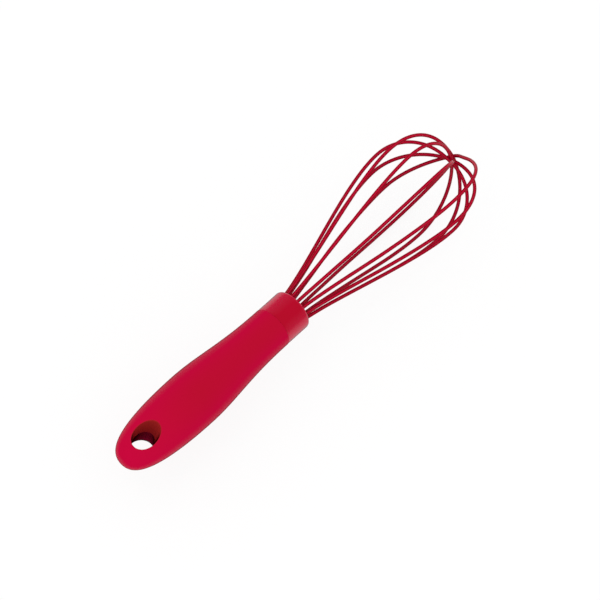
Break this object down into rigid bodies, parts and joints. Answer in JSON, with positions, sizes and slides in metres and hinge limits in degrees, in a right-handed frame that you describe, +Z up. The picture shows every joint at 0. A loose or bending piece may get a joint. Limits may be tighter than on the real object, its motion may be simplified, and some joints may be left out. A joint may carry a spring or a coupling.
{
  "type": "balloon whisk",
  "caption": "Hand whisk: soft-skinned handle with a hanging hole, a collar, and silicone-sleeved wire loops nested into a balloon.",
  "frame": {"origin": "centre of the collar's front face, on the flat boss at the middle of the wire plug", "axes": "+X along the whisk towards the tip of the balloon, +Z up through the hanging hole, so the whisk lies flat"},
  "size_m": [0.2531, 0.0568, 0.0586],
  "materials": {
    "grip_skin": "satin, smooth moulded silicone in raspberry red",
    "collar": "smooth moulded plastic in raspberry red, a little glossier than the grip",
    "wire_silicone": "glossy extruded silicone in deep red",
    "steel_wire": "bright drawn stainless steel",
    "core_plastic": "matte moulded plastic in dark red",
    "plug_plastic": "matte moulded plastic in raspberry red",
    "resin": "cast epoxy resin, amber"
  },
  "bodies": {
    "root": {"grip_skin": "grip_skin", "handle_core": "core_plastic", "collar": "collar", "wire_plug": "plug_plastic", "resin_potting": "resin", "wire_1": "steel_wire", "wire_2": "steel_wire", "wire_3": "steel_wire", "wire_4": "steel_wire", "wire_5": "steel_wire", "wire_6": "steel_wire", "wire_sleeve_1": "wire_silicone", "wire_sleeve_2": "wire_silicone", "wire_sleeve_3": "wire_silicone", "wire_sleeve_4": "wire_silicone", "wire_sleeve_5": "wire_silicone", "wire_sleeve_6": "wire_silicone"}
  },
  "joints": []
}
